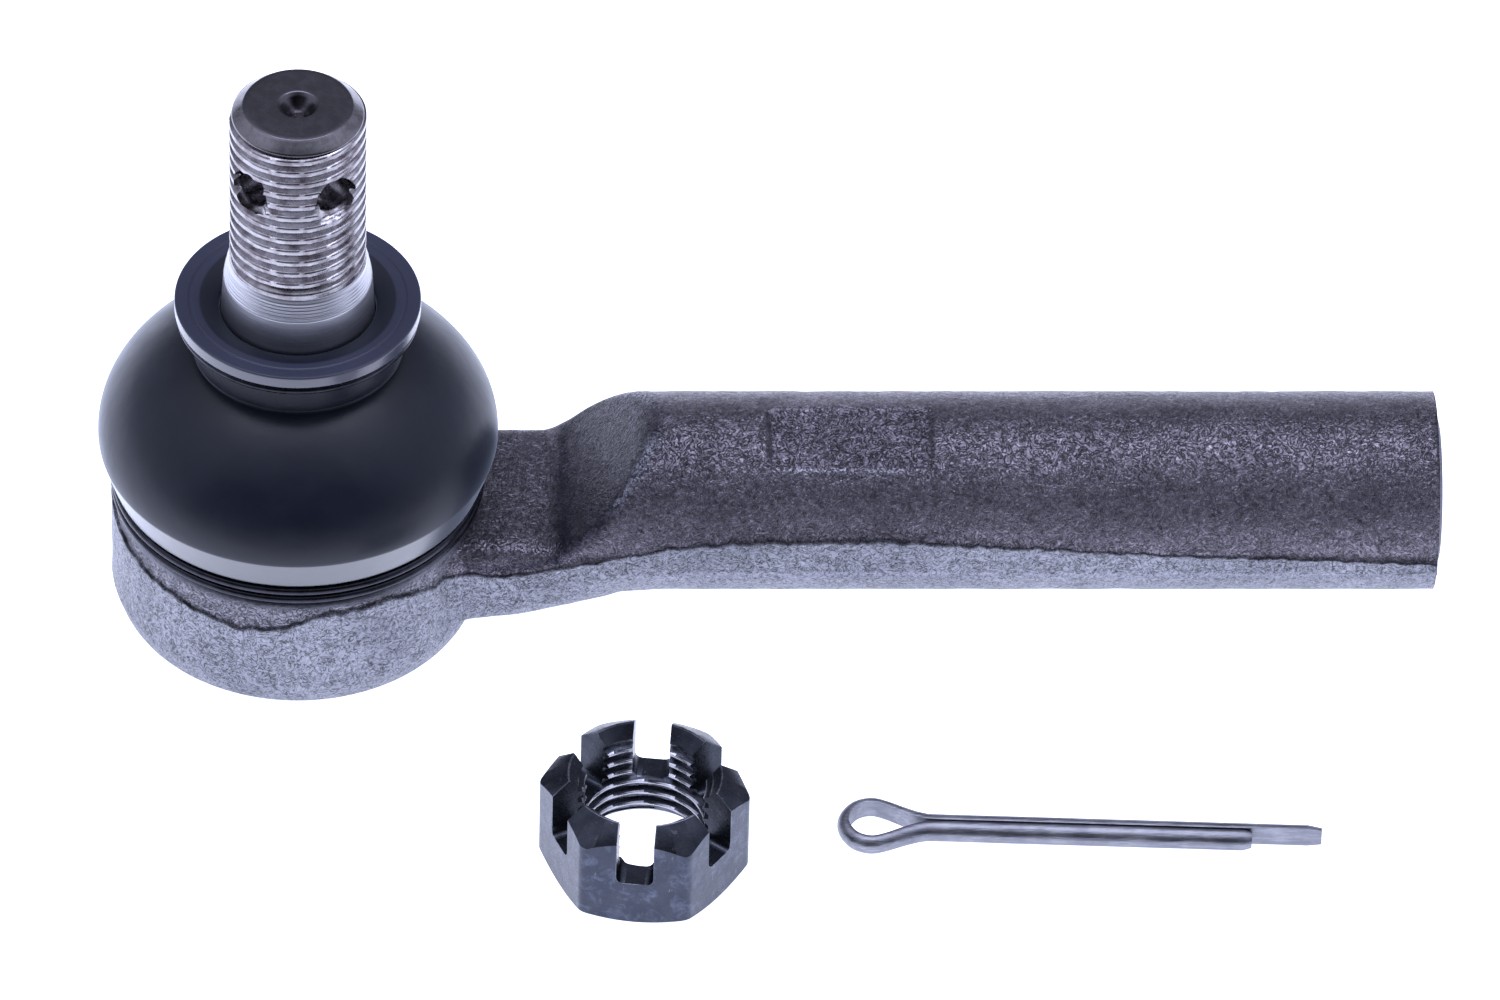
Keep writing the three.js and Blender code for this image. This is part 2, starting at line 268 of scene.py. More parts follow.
def add_mask(obj, name, values, domain="POINT"):
    """A number at each point, or on each face, that a material reads."""
    attribute = obj.data.attributes.new(name, "FLOAT", domain)
    attribute.data.foreach_set("value", np.asarray(values, np.float32).ravel())


def place(obj, x, y, degrees):
    turn = Matrix.Rotation(math.radians(degrees), 4, "Z")
    obj.data.transform(Matrix.Translation((x * MM, y * MM, 0)) @ turn)


# ---- Materials ----
class Shader:
    """A node material, built line by line."""

    def __init__(self, name):
        self.material = bpy.data.materials.new(name)
        self.material.use_nodes = True
        self.tree = self.material.node_tree
        self.surface = self.tree.nodes["Principled BSDF"]
        self.place = self.tree.nodes.new("ShaderNodeTexCoord").outputs["Object"]

    def node(self, kind, settings=None, **inputs):
        made = self.tree.nodes.new(kind)
        for key, value in (settings or {}).items():
            setattr(made, key, value)
        for key, value in inputs.items():
            self.put(made.inputs[key], value)
        return made

    def put(self, socket, value):
        if isinstance(value, bpy.types.NodeSocket):
            self.tree.links.new(value, socket)
        else:
            socket.default_value = value

    def set(self, **inputs):
        for key, value in inputs.items():
            self.put(self.surface.inputs[key.replace("_", " ")], value)

    def stretched(self, x, y, z):
        mapping = self.node("ShaderNodeMapping", Vector=self.place)
        mapping.inputs["Scale"].default_value = (x, y, z)
        return mapping.outputs["Vector"]

    def noise(self, size_mm, detail=3, roughness=0.55, vector=None, distortion=0.0):
        made = self.node("ShaderNodeTexNoise", Vector=vector or self.place, Scale=1 / (size_mm * MM),
                         Detail=detail, Roughness=roughness, Distortion=distortion)
        return made.outputs["Fac"]

    def ramp(self, factor, *stops):
        """stops are (position, value), where a value is a grey or a colour."""
        made = self.node("ShaderNodeValToRGB", Fac=factor)
        elements = made.color_ramp.elements
        while len(elements) < len(stops):
            elements.new(0.5)
        for element, (position, value) in zip(elements, stops):
            element.position = position
            colour = value if hasattr(value, "__len__") else (value,) * 3
            element.color = (*colour, 1)
        return made.outputs["Color"]

    def mix(self, factor, a, b, blend="MIX"):
        made = self.tree.nodes.new("ShaderNodeMix")
        made.data_type = "RGBA"
        made.blend_type = blend
        self.put(made.inputs[0], factor)
        for socket, value in ((made.inputs[6], a), (made.inputs[7], b)):
            self.put(socket, value if isinstance(value, bpy.types.NodeSocket) else (*value, 1))
        return made.outputs[2]

    def mask(self, name):
        return self.node("ShaderNodeAttribute", {"attribute_name": name}).outputs["Fac"]

    def bump(self, height, depth_mm, below=None):
        made = self.node("ShaderNodeBump", Height=height, Strength=1.0, Distance=depth_mm * MM)
        if below:
            self.put(made.inputs["Normal"], below)
        return made.outputs["Normal"]


def forged_steel():
    """Forging: a creased dark skin, paler where the flash was trimmed, bright where turned, darker with scale
    on the ramp and painted shade in its valley and hollows, painted highlights on crests and edges, and
    painted shade near black in the parting line."""
    s = Shader("forged_steel")
    trim = s.mask("trim")
    # The parting line's mask paints shade near black into its crease; this noise sets how strong that painted
    # shade is along the line.
    parting_shade_strength = s.ramp(s.noise(2.4, 3, 0.6), (0.40, 0.25), (0.60, 1.0))
    parting_shade = s.mix(1.0, s.mask("parting_shade"), parting_shade_strength, "MULTIPLY")
    turned = s.mask("turned")
    broad = s.noise(8, 4)
    worm = s.noise(0.95, 3, 0.62, distortion=1.6)
    fine = s.noise(0.34, 2, 0.6, distortion=0.8)
    creases = s.ramp(s.noise(1.25, 2, 0.5, distortion=3.0), (0.43, 0.64), (0.5, 0.32), (0.57, 0.64))
    grain = s.mix(0.45, s.mix(0.4, worm, fine), creases)
    tint = s.ramp(broad, (0.35, (0.090, 0.084, 0.100)), (0.65, (0.120, 0.111, 0.131)))
    skin = s.mix(1.0, tint, s.ramp(grain, (0.38, 0.36), (0.56, 1.35), (0.64, 2.5)), "MULTIPLY")
    streak = s.ramp(s.noise(0.5, 3, 0.7, s.stretched(1, 1, 0.06)), (0.3, 0.92), (0.75, 1.1))
    pale = s.ramp(broad, (0.35, (0.180, 0.187, 0.215)), (0.65, (0.225, 0.232, 0.262)))
    pale = s.mix(1.0, pale, streak, "MULTIPLY")
    trimmed = s.mix(1.0, pale, s.ramp(grain, (0.40, 0.30), (0.54, 1.2), (0.64, 1.55)), "MULTIPLY")
    colour = s.mix(trim, skin, trimmed)
    colour = s.mix(turned, colour, s.ramp(worm, (0.3, (0.15, 0.155, 0.18)), (0.7, (0.22, 0.225, 0.26))))
    # Scale and painted shade: darker with scale on the ramp, with painted shade in the valley at its foot and
    # the hollow over the parting line, and a little darker on the wrench flats' floors.
    colour = s.mix(s.mask("scale"), colour, s.mix(1.0, colour, (0.16, 0.17, 0.24), "MULTIPLY"))
    # Painted highlights: the bright mask lightens the ramp's crest, the flash's foot and the flats' long
    # edges, speckled by noise.
    speckle = s.ramp(fine, (0.42, 0.1), (0.58, 1.0))
    painted_highlight = s.mix(1.0, s.mask("painted_highlight"), speckle, "MULTIPLY")
    colour = s.mix(painted_highlight, colour, (0.36, 0.37, 0.43))
    # Painted shade: near black where the parting line's crease would fall into shade.
    colour = s.mix(parting_shade, colour, (0.012, 0.012, 0.016))
    s.set(Base_Color=colour, Metallic=0.9)
    s.set(Roughness=s.mix(trim, s.ramp(fine, (0.3, 0.44), (0.7, 0.27)), s.ramp(fine, (0.3, 0.5), (0.7, 0.4))))
    depth = s.mix(turned, s.mix(trim, grain, s.mix(0.45, grain, (0.5, 0.5, 0.5))), (0.5, 0.5, 0.5))
    s.set(Normal=s.bump(depth, 0.42, s.bump(broad, 0.3)))
    return s.material


def machined_steel(name="machined_steel", colour=(0.42, 0.41, 0.43), patina=(0.17, 0.145, 0.16), rings=0.2):
    """Turned bright steel: fine rings round the axis, and a brown-lilac bloom where it was left oily."""
    s = Shader(name)
    bloom = s.ramp(s.noise(1.8, 4, 0.65), (0.46, 0.0), (0.64, 0.75))
    bloom = s.mix(s.mask("smooth"), bloom, (0.0, 0.0, 0.0))
    lathe_marks = s.noise(rings, 2, 0.6, s.stretched(0.02, 0.02, 1))
    streaks = s.ramp(lathe_marks, (0.35, 0.85), (0.65, 1.0))
    smooth = s.mask("smooth")
    base = s.mix(bloom, colour, patina)
    base = s.mix(smooth, base, (0.56, 0.57, 0.62))
    base = s.mix(s.mask("bare"), base, (0.125, 0.12, 0.135))
    s.set(Base_Color=s.mix(1.0, base, streaks, "MULTIPLY"), Metallic=1.0)
    s.set(Roughness=s.mix(smooth, s.ramp(s.noise(1.1, 3), (0.35, 0.2), (0.7, 0.34)), (0.36, 0.36, 0.36)))
    pitting = s.mix(smooth, s.noise(0.8, 3), (0.5, 0.5, 0.5))
    s.set(Normal=s.bump(lathe_marks, 0.005, s.bump(pitting, 0.006)))
    return s.material


def dark_steel():
    """Oiled dark wire with thin highlights."""
    s = Shader("dark_steel")
    cloud = s.noise(1.6, 4, 0.6)
    colour = s.ramp(cloud, (0.35, (0.022, 0.023, 0.030)), (0.7, (0.0418, 0.0437, 0.057)))
    s.set(Base_Color=colour, Metallic=0.9)
    s.set(Roughness=s.ramp(cloud, (0.3, 0.2), (0.7, 0.34)))
    s.set(Normal=s.bump(s.noise(0.3, 3), 0.008))
    return s.material


def boot_rubber():
    """Moulded rubber with a satin skin, a faint bloom, a glossier flank under its widest edge, and the
    flange's top painted lighter where the overhead light falls.
    """
    s = Shader("boot_rubber")
    bloom = s.ramp(s.noise(7, 4, 0.6), (0.35, (0.0075, 0.0098, 0.0185)), (0.75, (0.0100, 0.0128, 0.0230)))
    scuffs = s.ramp(s.noise(2.6, 5, 0.7, s.stretched(1, 1, 2.2)), (0.70, 0.0), (0.78, 0.35))
    gloss = s.mask("gloss")
    base = s.mix(scuffs, bloom, (0.035, 0.038, 0.05))
    # Painted light: the flange's top and rim get a lighter base colour, standing in for the overhead light on
    # them.
    s.set(Base_Color=s.mix(s.mask("flange"), base, (0.034, 0.038, 0.066)))
    s.set(Roughness=s.ramp(s.noise(3.5, 4), (0.3, 0.32), (0.7, 0.40)), Specular_IOR_Level=0.28)
    s.set(Coat_Weight=gloss, Coat_Roughness=0.25, Coat_IOR=1.7)
    s.set(Sheen_Weight=0.5, Sheen_Roughness=0.3, Sheen_Tint=(0.75, 0.86, 1.0, 1))
    s.set(Normal=s.bump(s.noise(0.35, 2), 0.005, s.bump(s.noise(4, 2), 0.05)))
    return s.material


def phosphated_steel():
    """The nut's blue-black phosphate, with paler rubbed flats and edges and a bright cut thread."""
    s = Shader("phosphated_steel")
    cloud = s.noise(2.4, 5, 0.6)
    grain = s.noise(0.22, 2, 0.6)
    dark = s.ramp(cloud, (0.35, (0.026, 0.030, 0.040)), (0.68, (0.052, 0.057, 0.072)))
    scuffs = s.ramp(s.noise(1.7, 5, 0.72, distortion=0.6), (0.50, 0.8), (0.72, 1.7))
    flats = s.ramp(cloud, (0.35, (0.048, 0.056, 0.078)), (0.68, (0.064, 0.073, 0.096)))
    flats = s.mix(1.0, flats, scuffs, "MULTIPLY")
    base = s.mix(s.mask("flat"), dark, flats)
    base = s.mix(s.mask("thread"), base, (0.42, 0.42, 0.46))
    scratches = s.ramp(s.noise(1.2, 4, 0.7, s.stretched(1, 1, 0.3)), (0.64, 0.0), (0.68, 0.5))
    rubbed = s.mix(1.0, s.mask("edge"), s.ramp(cloud, (0.4, 0.25), (0.6, 0.9)), "MULTIPLY")
    edge = s.mix(1.0, rubbed, scratches, "LIGHTEN")
    s.set(Base_Color=s.mix(edge, base, (0.19, 0.20, 0.235)), Metallic=0.9)
    s.set(Roughness=s.ramp(grain, (0.3, 0.24), (0.7, 0.38)))
    s.set(Normal=s.bump(grain, 0.008, s.bump(cloud, 0.04)))
    return s.material


def zinc_plate():
    """Bright zinc over drawn wire, with lengthwise marks."""
    s = Shader("zinc_plate")
    drawn = s.noise(0.35, 4, 0.6, s.stretched(0.12, 1, 1))
    cloud = s.noise(2.5, 3)
    base = s.ramp(cloud, (0.35, (0.21, 0.215, 0.245)), (0.7, (0.31, 0.315, 0.345)))
    s.set(Base_Color=s.mix(s.ramp(drawn, (0.42, 0.5), (0.6, 0.0)), base, (0.12, 0.125, 0.145)), Metallic=1.0)
    s.set(Roughness=s.ramp(drawn, (0.3, 0.34), (0.7, 0.48)))
    s.set(Normal=s.bump(drawn, 0.05))
    return s.material


def white_plastic():
    """The moulded bearing seats' plastic."""
    s = Shader("white_plastic")
    cloud = s.noise(3, 3)
    s.set(Base_Color=s.ramp(cloud, (0.3, (0.68, 0.66, 0.60)), (0.7, (0.78, 0.76, 0.70))))
    s.set(Roughness=s.ramp(cloud, (0.3, 0.38), (0.7, 0.5)), Subsurface_Weight=0.05)
    s.set(Normal=s.bump(s.noise(0.4, 2), 0.01))
    return s.material


def dress(obj, material, slot, body, *nodes):
    """Gives a piece its material and its body, and hides the CAD nodes that it stands for; slot is not used.
    """
    obj.data.materials.clear()
    obj.data.materials.append(material)
    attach(obj, body)
    if nodes:
        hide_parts(*nodes)
    return obj


# ---- The housing's head ----
def parting_round_head(angle):
    """Height of the forging's parting line round the head: it dips at the left of the front."""
    around = np.degrees(angle)
    knots = [0, 30, 90, 150, 185, 205, 225, 252, 266, 276, 300, 318, 340, 360]
    heights = [12.0, 12.2, 13.4, 13.9, 14.2, 13.6, 12.7, 11.6, 12.5, 14.0, 14.3, 12.6, 12.0, 12.0]
    return np.interp(around, knots, heights)


def housing_head():
    """The turned head: foot, trimmed wall, parting line, rim, spigot, roof, socket and rolled lip."""
    columns = 420
    angle = np.linspace(0, TURN, columns, endpoint=False)
    around = 18.6 * np.stack([np.cos(angle), np.sin(angle)], -1)
    ragged = np.array([noise.noise(Vector((*spot, 4.0))) for spot in around])
    parting = parting_round_head(angle) + 0.35 * ragged
    foot = rounded([(13.4, 1.0), (13.4, 0.25, 0.3), (13.9, 0.0, 0.3), (16.3, 0.0, 1.2), (18.4, 1.3, 2.0),
                    (HEAD_RADIUS, 4.0, 1.5), (HEAD_RADIUS, 4.6)])
    foot = resampled(foot, 0.45)
    rows = [np.broadcast_to(point[:, None], (2, columns)) for point in foot]
    for t in np.linspace(0, 1, 22)[1:]:
        rows.append(np.stack([np.full(columns, HEAD_RADIUS), 4.6 + (parting - 4.6) * t]))
    rim_edge = RIM_TOP - 0.75
    upper = HEAD_RADIUS - 0.28
    rows.append(np.stack([np.full(columns, upper + 0.05), parting + 0.06]))
    for t in np.linspace(0, 1, 10)[1:]:
        rows.append(np.stack([np.full(columns, upper), parting + 0.06 + (rim_edge - parting - 0.06) * t]))
    top = rounded([(upper, rim_edge), (18.75, RIM_TOP - 0.1, 0.25), (18.4, RIM_TOP, 0.15),
                   (SPIGOT_RADIUS, RIM_TOP, 0.2), (SPIGOT_RADIUS, 18.0, 0.2), (17.0, 18.3, 0.2),
                   (17.0, 19.2, 0.4), (15.9, 20.6, 1.2), (12.6, ROOF_TOP, 1.0), (10.9, ROOF_TOP, 0.3),
                   (10.4, 21.7, 0.3), (BORE_RADIUS, 18.7, 0.4), (BORE_RADIUS, 2.8), (15.5, 2.8),
                   (15.5, 1.0), (13.4, 1.0)])[1:-1]
    top = resampled(top, 0.8)
    rows.extend(np.broadcast_to(point[:, None], (2, columns)) for point in top)
    rows = np.array(rows)
    radius, height = rows[:, 0], rows[:, 1]
    points = np.stack([radius * np.cos(angle), radius * np.sin(angle), height], -1)
    forged = (radius > 18.9) & (height > 1.0) & (height < RIM_TOP - 0.5)
    push = rough(points, 3.0, 0.07, 1) + rough(points, 1.1, 0.035, 2)
    points[..., :2] *= (1 + np.where(forged, push, 0) / np.maximum(radius, 1))[..., None]
    obj = object_from("housing_head", points, grid_faces(len(rows), columns, wrap_rows=True), weld=False)
    gap = height - parting
    add_mask(obj, "turned", np.where((height > RIM_TOP - 0.4) & (radius > 15), 1.0, 0.0))
    add_mask(obj, "trim", np.where(radius > 16, np.where(gap < 0.03, 1.0, 0.45), 0.0))
    # Painted shade along the parting line's crease.
    add_mask(obj, "parting_shade", np.where(forged, np.exp(-((gap - 0.02) / 0.14) ** 2), 0.0) * 0.9)
    return obj


# ---- The housing's neck and shank ----
def parting_along_shank(x):
    return np.interp(x, [15, 18, 20, 26, 32, 38, 46, 60, 72, 90, 119],
                     [12.4, 11.9, 11.4, 12.3, 13.8, 15.3, 16.2, 16.4, 15.7, 14.5, 13.2])


def ramp_height(x):
    """Top of the forging between the neck's flat top and the shank, with a shallow valley at its foot."""
    return NECK_TOP - 0.15 + 12.6 * smooth_step(x, 25.4, 41.3) + 2.5 * (1 - smooth_step(x, 17, 26.0))


def underside(x):
    """Height of the forging's underside and the radius of its lower corners, which turn it into the shank."""
    corner = np.interp(x, [15, 17, 22.7, 28, 31.6, 33.4, 37], [1.0, 1.0, 2.6, 5.4, 7.7, 9.2, SHANK_RADIUS])
    bottom = np.interp(x, [15, 22.7, 28, 31.6, 37], [5.0, 4.9, 4.7, 4.5, SHANK_Z - SHANK_RADIUS])
    return bottom, corner


def press_wrench_flats(points):
    """Presses the two wrench flats, with rounded corners, into the shank.
    Returns how far each point is on a flat's floor, and on a flat's long edge."""
    middle, half_length, half_width, corner = 57.1, 8.6, 4.3, 1.6
    floor, edge = np.zeros(points.shape[:2]), np.zeros(points.shape[:2])
    turn = math.radians(FLAT_TURN)
    for side in (1, -1):
        outward = side * np.array([0, -math.sin(turn), math.cos(turn)])
        sideways = np.array([0, math.cos(turn), math.sin(turn)])
        from_axis = points - np.array([0, 0, SHANK_Z])
        qx = np.abs(points[..., 0] - middle) - half_length + corner
        qy = np.abs(from_axis @ sideways) - half_width + corner
        outside = np.hypot(np.maximum(qx, 0), np.maximum(qy, 0)) + np.minimum(np.maximum(qx, qy), 0) - corner
        inside = 1 - smooth_step(outside, -0.5, 0.2)
        height = from_axis @ outward - FLAT_HALF
        floor += inside * smooth_step(height, 0.02, 0.2)
        edge += inside * np.exp(-((height - 0.04) / 0.10) ** 2)
        points -= (np.maximum(height, 0) * inside)[..., None] * outward
    return floor, edge


def neck_half_width(x):
    """Half the width across the wall, flaring into the head in a fillet."""
    fillet = 4.0
    fillet_x = math.sqrt((HEAD_RADIUS + fillet) ** 2 - (WALL_Y + fillet) ** 2)
    inside = np.clip(fillet ** 2 - (np.asarray(x, float) - fillet_x) ** 2, 0, None)
    return np.where(x < fillet_x, WALL_Y + fillet - np.sqrt(inside), WALL_Y)


def upper_side(x, parting, wall):
    """Across and height of one side of the top at every x, and the height of a plain round shank there."""
    above = np.maximum(parting - SHANK_Z, 0)
    reach = np.minimum(np.sqrt(SHANK_RADIUS ** 2 - above ** 2), wall - 0.12)
    reach = np.where(x < 30, wall - 0.15, reach)[:, None]
    x, parting = x[:, None], parting[:, None]
    y = reach * np.sin(np.linspace(0, math.pi / 2, ARC_STEPS))
    circle = SHANK_Z + np.sqrt(np.maximum(SHANK_RADIUS ** 2 - y ** 2, 0))
    boxy = (1 - np.clip(y / reach, 0, 1) ** 13) ** 0.45
    neck_top = parting + (NECK_TOP - parting) * boxy
    rise = smooth_step(x, 25.5, 31)
    body = neck_top * (1 - rise) + circle * rise
    z = smooth_min(np.maximum(body, neck_top), ramp_height(x) + 0 * y, 1.5)
    z = np.maximum(z, parting)
    z[:, -1:] = parting
    return y, z, circle


def lower_side(x, foot, wall):
    """Across and height of one side of the bottom at every x."""
    bottom, corner = underside(x)
    core = wall - 0.03 - 0.09 * smooth_step(x, 33, 38)
    drop = np.clip(corner - foot + bottom, 0, None)
    reach = core - corner + np.sqrt(corner ** 2 - drop ** 2)
    y = reach[:, None] * np.sin(np.linspace(0, math.pi / 2, ARC_STEPS))
    round_part = np.clip(y - (core - corner)[:, None], 0, None)
    z = (bottom + corner)[:, None] - np.sqrt(np.clip(corner[:, None] ** 2 - round_part ** 2, 0, None))
    z[:, -1] = foot
    return y, z


def both_sides(half, mirror=1):
    """A full turn round the section from one side's values, multiplied by mirror on the first side."""
    return np.concatenate([mirror * half, half[..., -2:0:-1]], -1)


def shank_end(ring):
    """Rings of points from the skin's end, over the dished end face, to the bottom of the thread's bore."""
    rim = ring - np.array([0, 0, SHANK_Z])
    angle = np.arctan2(rim[:, 2], rim[:, 1])
    loops = []
    for scale, forward in ((0.985, 0.32), (0.955, 0.5)):
        loop = rim * scale + np.array([forward, 0, SHANK_Z])
        loop[:, 0] = np.minimum(loop[:, 0], SHANK_END)
        loops.append(loop)

    def add_round(depth, radius):
        x = np.full(len(ring), SHANK_END - depth)
        loops.append(np.stack([x, radius * np.cos(angle), SHANK_Z + radius * np.sin(angle)], -1))

    for depth in np.linspace(0, SHANK_THREAD_LENGTH, 130):
        turn = (depth / PITCH - angle / TURN) % 1
        thread = SHANK_BORE_RADIUS + 0.75 * (1 - np.abs(2 * turn - 1)) ** 0.8
        mouth = 7.35 - depth * 0.9
        add_round(depth, np.maximum(thread if depth > 0.4 else SHANK_BORE_RADIUS, mouth))
    add_round(SHANK_THREAD_LENGTH + 0.5, SHANK_BORE_RADIUS)
    add_round(SHANK_BORE_DEPTH, SHANK_BORE_RADIUS)
    add_round(SHANK_BORE_DEPTH + 3.5, 0.05)
    return np.array(loops)


def scale_and_shade_mask(points, parting, flat_floor):
    """Where the skin is darker: scale on the ramp, painted shade in the valley at its foot and in the hollow
    over the parting line by the head, and a little darker on the wrench flats."""
    x, z = points[..., 0], points[..., 2]
    top_side = z > 13.2
    on_ramp = 1 - smooth_step(np.abs(z - ramp_height(x)), 0.6, 2.0)
    on_ramp = on_ramp * smooth_step(x, 26.0, 27.8) * (1 - smooth_step(x, 36.5, 39)) * top_side
    wander = rough(points * np.array([0, 1, 0]), 2.5, 1.1, 8)
    # Painted shade in the concave valley at the ramp's foot.
    valley = np.exp(-((x - 27.4 - wander) / 0.75) ** 2) * top_side
    # Painted shade in the hollow above the parting line by the head.
    hollow = np.exp(-((z - parting[:, None] - 0.9) / 0.55) ** 2) * (x < 27) * (x > 17)
    return np.clip(0.7 * on_ramp + 0.35 * valley + 0.7 * hollow + 0.22 * flat_floor, 0, 1)


def painted_highlight_mask(x, y_upper, circle, flat_edge):
    """Where painted highlights lighten the skin: the ramp's crest, the flash's foot, the flats' long edges.
    """
    index = np.arange(2 * ARC_STEPS + WALL_STEPS)
    # Painted highlight along the flash's foot, where its ledge catches the light.
    foot_place = ARC_STEPS + WALL_STEPS - 1.5
    painted_highlight = 0.9 * np.exp(-((index - foot_place) / 0.8) ** 2) * smooth_step(x, 36, 41)[:, None]
    # Painted highlight along the ramp's crest.
    facing = smooth_step(y_upper, 1.5, 4) * (1 - smooth_step(y_upper, 8.2, 9.6))
    crest = np.exp(-((ramp_height(x)[:, None] - circle - 0.4) / 0.8) ** 2) * facing
    painted_highlight[:, :ARC_STEPS] += 0.75 * crest * smooth_step(x, 29, 31)[:, None]
    # Painted highlights along the wrench flats' long edges.
    return np.clip(both_sides(painted_highlight) + 0.55 * flat_edge, 0, 1)


def housing_shank():
    """The neck and the shank, lofted along X: upper side, parting ledge, trimmed wall, lower side."""
    start = 15.0
    x = np.concatenate([np.linspace(start, 46, 100, endpoint=False),
                        np.linspace(46, 67.5, 80, endpoint=False),
                        np.linspace(67.5, SHANK_END - 0.5, 125)])
    coarse = np.array([noise.noise(Vector((v * 0.9, 0, 3.3))) for v in x])
    fine = np.array([noise.noise(Vector((v * 3, 5, 1))) for v in x])
    parting = parting_along_shank(x) + 0.3 * (coarse + 0.5 * fine)
    bottom, corner = underside(x)
    foot = np.minimum(bottom + corner, FLASH_FOOT)
    wall = neck_half_width(x) - 0.25 * (1 - smooth_step(x, start, start + 1.0))
    y_upper, z_upper, circle = upper_side(x, parting, wall)
    y_lower, z_lower = lower_side(x, foot, wall)
    y_wall = np.repeat(wall[:, None], WALL_STEPS, 1)
    z_wall = parting[:, None] - 0.05 + (foot - parting + 0.1)[:, None] * np.linspace(0, 1, WALL_STEPS)
    y = both_sides(np.concatenate([y_upper, y_wall, y_lower[:, ::-1]], 1), -1)
    z = both_sides(np.concatenate([z_upper, z_wall, z_lower[:, ::-1]], 1))
    points = np.stack([x[:, None] + 0 * y, y, z], -1)
    flat_floor, flat_edge = press_wrench_flats(points)

    index = np.arange(2 * ARC_STEPS + WALL_STEPS)
    every_row = np.ones((len(x), 1))
    trim = every_row * both_sides((index >= ARC_STEPS) * 1.0)
    # Painted shade along the parting line's crease, just above the trimmed wall.
    parting_shade = every_row * both_sides(np.exp(-((index - ARC_STEPS + 0.6) / 0.9) ** 2))

    away = points - np.array([0, 0, SHANK_Z])
    away[..., 0] = 0
    away /= np.maximum(np.linalg.norm(away, axis=-1), 1e-6)[..., None]
    push = rough(points, 3.2, 0.07, 3) + rough(points, 1.1, 0.04, 4) * (1 - 0.6 * trim)
    push *= smooth_step(SHANK_END - points[..., 0], 0.3, 2.0)
    points += away * push[..., None] * 0.9

    everything = np.concatenate([points, shank_end(points[-1])])
    rows, columns = everything.shape[:2]
    faces = grid_faces(rows, columns) + end_faces(rows, columns)
    obj = object_from("housing_shank", everything, faces, weld=False)
    inside = np.zeros((rows - len(x), columns))
    masks = {
        "trim": trim,
        # Painted shade in the parting line's crease.
        "parting_shade": parting_shade * 0.9,
        # Scale on the ramp and painted shade in the valley and hollow.
        "scale": scale_and_shade_mask(points, parting, flat_floor),
        # Painted highlights on the ramp's crest, the flash's foot and the flats' long edges.
        "painted_highlight": painted_highlight_mask(x, y_upper, circle, flat_edge),
    }
    for name, values in masks.items():
        add_mask(obj, name, np.concatenate([values, inside]))
    add_mask(obj, "turned", np.concatenate([0 * trim, 1 + inside]))
    return obj


# ---- Ball stud ----
def thread_form(turn):
    """Height of the thread, 0 in the root to 1 on the crest, at a fraction of its pitch."""
    ridge = 1 - np.abs(2 * (turn % 1) - 1)
    return smooth_step(ridge, 0.10, 0.68)


def taper_radius(z):
    return TAPER_TOP_RADIUS + (TAPER_TOP - z) / 16


def stud_profile(thread_start, thread_end):
    """Outline of the stud from the ball's flat foot to the bottom of the centre hole in its end."""
    latitudes = np.linspace(-1.304, 1.036, 40)
    ball = [(BALL_RADIUS * math.cos(t), SHANK_Z + BALL_RADIUS * math.sin(t)) for t in latitudes]
    neck = rounded([(5.6, 23.8), (5.6, 27.0, 1.5), (7.95, 29.8, 0.8), (taper_radius(31), 31.0, 0.6),
                    (taper_radius(TAPER_TOP), TAPER_TOP)])
    collar = rounded([(TAPER_TOP_RADIUS, TAPER_TOP), (7.58, TAPER_TOP + 0.05), (7.62, TAPER_TOP + 0.16),
                      (7.25, 46.0, 0.2), (7.05, 46.5)])
    thread_z = np.arange(thread_start, thread_end, PITCH / 15)
    thread = np.stack([np.full(len(thread_z), THREAD_RADIUS), thread_z], -1)
    tip = rounded([(6.3, thread_end), (6.78, thread_end + 0.03), (6.75, thread_end + 0.2, 0.15),
                   (5.6, STUD_TOP - 0.04, 0.25), (5.5, STUD_TOP), (2.1, STUD_TOP, 0.12),
                   (1.75, STUD_TOP - 0.35, 0.1), (0.75, STUD_TOP - 1.8), (0.7, STUD_TOP - 2.4),
                   (0.0, STUD_TOP - 2.6)])
    foot = [(0.0, 3.69)]
    return np.concatenate([foot, ball, resampled(neck, 0.9)[1:], resampled(collar, 0.09)[1:], thread,
                           resampled(tip, 0.5)])


def ball_stud():
    """The ball, neck, taper, grooved collar and thread, drilled twice across."""
    thread_start, thread_end = 46.55, STUD_TOP - 1.3

    def shape(radius, height, angle):
        on_thread = (height >= thread_start - 0.01) & (height < thread_end - 0.01) & (radius > 6.9)
        fade = smooth_step(height, thread_start - 0.3, thread_start + 1.9)
        cut = thread_form(height / PITCH - angle / TURN)
        turned = THREAD_RADIUS - THREAD_DEPTH * (1 - cut) * fade
        on_collar = (height > TAPER_TOP + 0.2) & (height < thread_start - 0.3)
        grooves = 0.035 * np.sin(height * TURN / 0.38)
        return np.where(on_thread, turned, radius + np.where(on_collar, grooves, 0)), height

    points, faces = revolved(stud_profile(thread_start, thread_end), 168, shape=shape)
    stud = object_from("ball_stud_body", points, faces)
    for number, degrees in enumerate(HOLE_ANGLES):
        combine(stud, ragged_drill(number, degrees), "DIFFERENCE")
    smooth_by_angle(stud, 50)
    places = np.array([vertex.co for vertex in stud.data.vertices]) / MM
    heights = places[:, 2]
    radii = np.hypot(places[:, 0], places[:, 1])
    on_tip = heights > thread_end - 0.1
    add_mask(stud, "bare", on_tip * np.where(radii < 5.65, 1.0, 0.62))
    add_mask(stud, "smooth", heights < thread_start)
    return stud


